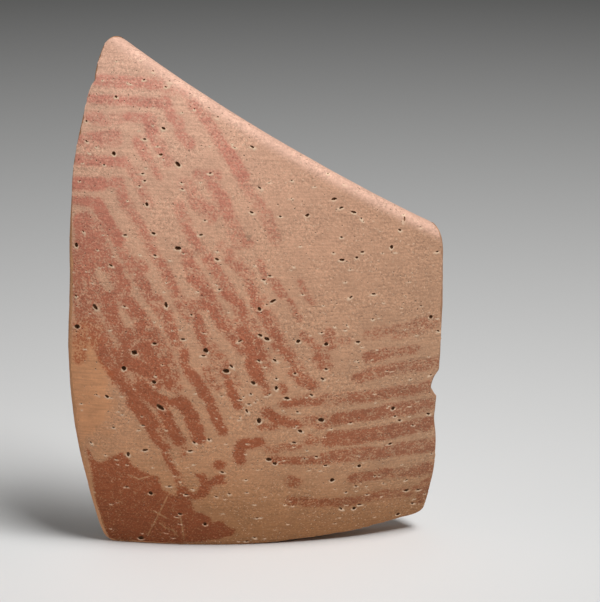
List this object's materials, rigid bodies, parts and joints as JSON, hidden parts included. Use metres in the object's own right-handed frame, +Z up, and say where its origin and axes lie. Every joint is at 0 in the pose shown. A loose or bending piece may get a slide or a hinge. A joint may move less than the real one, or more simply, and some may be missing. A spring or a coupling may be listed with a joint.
{
  "type": "terracotta rim sherd",
  "caption": "Curved rim sherd of a round-bellied terracotta bowl, with a rounded lip, worn breaks, a buff slip and red brush strokes in a zigzag band.",
  "frame": {"origin": "on the standing surface, under the centre of the sherd's bounding box", "axes": "+Z up as the sherd stands on its lower break, -Y out of its painted outer face, +X to the right seen from that side"},
  "size_m": [0.0758, 0.0316, 0.1084],
  "materials": {
    "clay": "unglazed orange terracotta, matt and porous",
    "slip": "buff slip, smoothed and matt",
    "paint": "red iron-oxide paint, matt and worn"
  },
  "bodies": {
    "root": {"clay_body": "clay", "buff_slip": "slip", "left_stroke_01": "paint", "left_stroke_02": "paint", "left_stroke_03": "paint", "left_stroke_04": "paint", "left_stroke_05": "paint", "left_stroke_06": "paint", "left_stroke_07": "paint", "left_stroke_08": "paint", "middle_stroke_01": "paint", "middle_stroke_02": "paint", "middle_stroke_03": "paint", "middle_stroke_04": "paint", "middle_stroke_05": "paint", "middle_stroke_06": "paint", "middle_stroke_07": "paint", "middle_stroke_08": "paint", "middle_stroke_09": "paint", "middle_stroke_10": "paint", "middle_stroke_11": "paint", "middle_stroke_12": "paint", "middle_stroke_13": "paint", "middle_stroke_14": "paint", "middle_stroke_15": "paint", "middle_stroke_16": "paint", "middle_stroke_17": "paint", "middle_stroke_18": "paint", "middle_stroke_19": "paint", "middle_stroke_20": "paint", "middle_stroke_21": "paint", "middle_stroke_22": "paint", "middle_stroke_23": "paint", "middle_stroke_24": "paint", "middle_stroke_25": "paint", "middle_stroke_26": "paint", "middle_stroke_27": "paint", "middle_stroke_28": "paint", "middle_stroke_29": "paint", "middle_stroke_30": "paint", "middle_stroke_31": "paint", "middle_stroke_32": "paint", "middle_stroke_33": "paint", "middle_stroke_34": "paint", "right_stroke_01": "paint", "right_stroke_02": "paint", "right_stroke_03": "paint", "right_stroke_04": "paint", "right_stroke_05": "paint", "right_stroke_06": "paint", "right_stroke_07": "paint", "right_stroke_08": "paint", "right_stroke_09": "paint", "right_stroke_10": "paint", "right_stroke_11": "paint", "base_patch": "paint", "splash_upper": "paint", "splash_lower": "paint"}
  },
  "joints": []
}
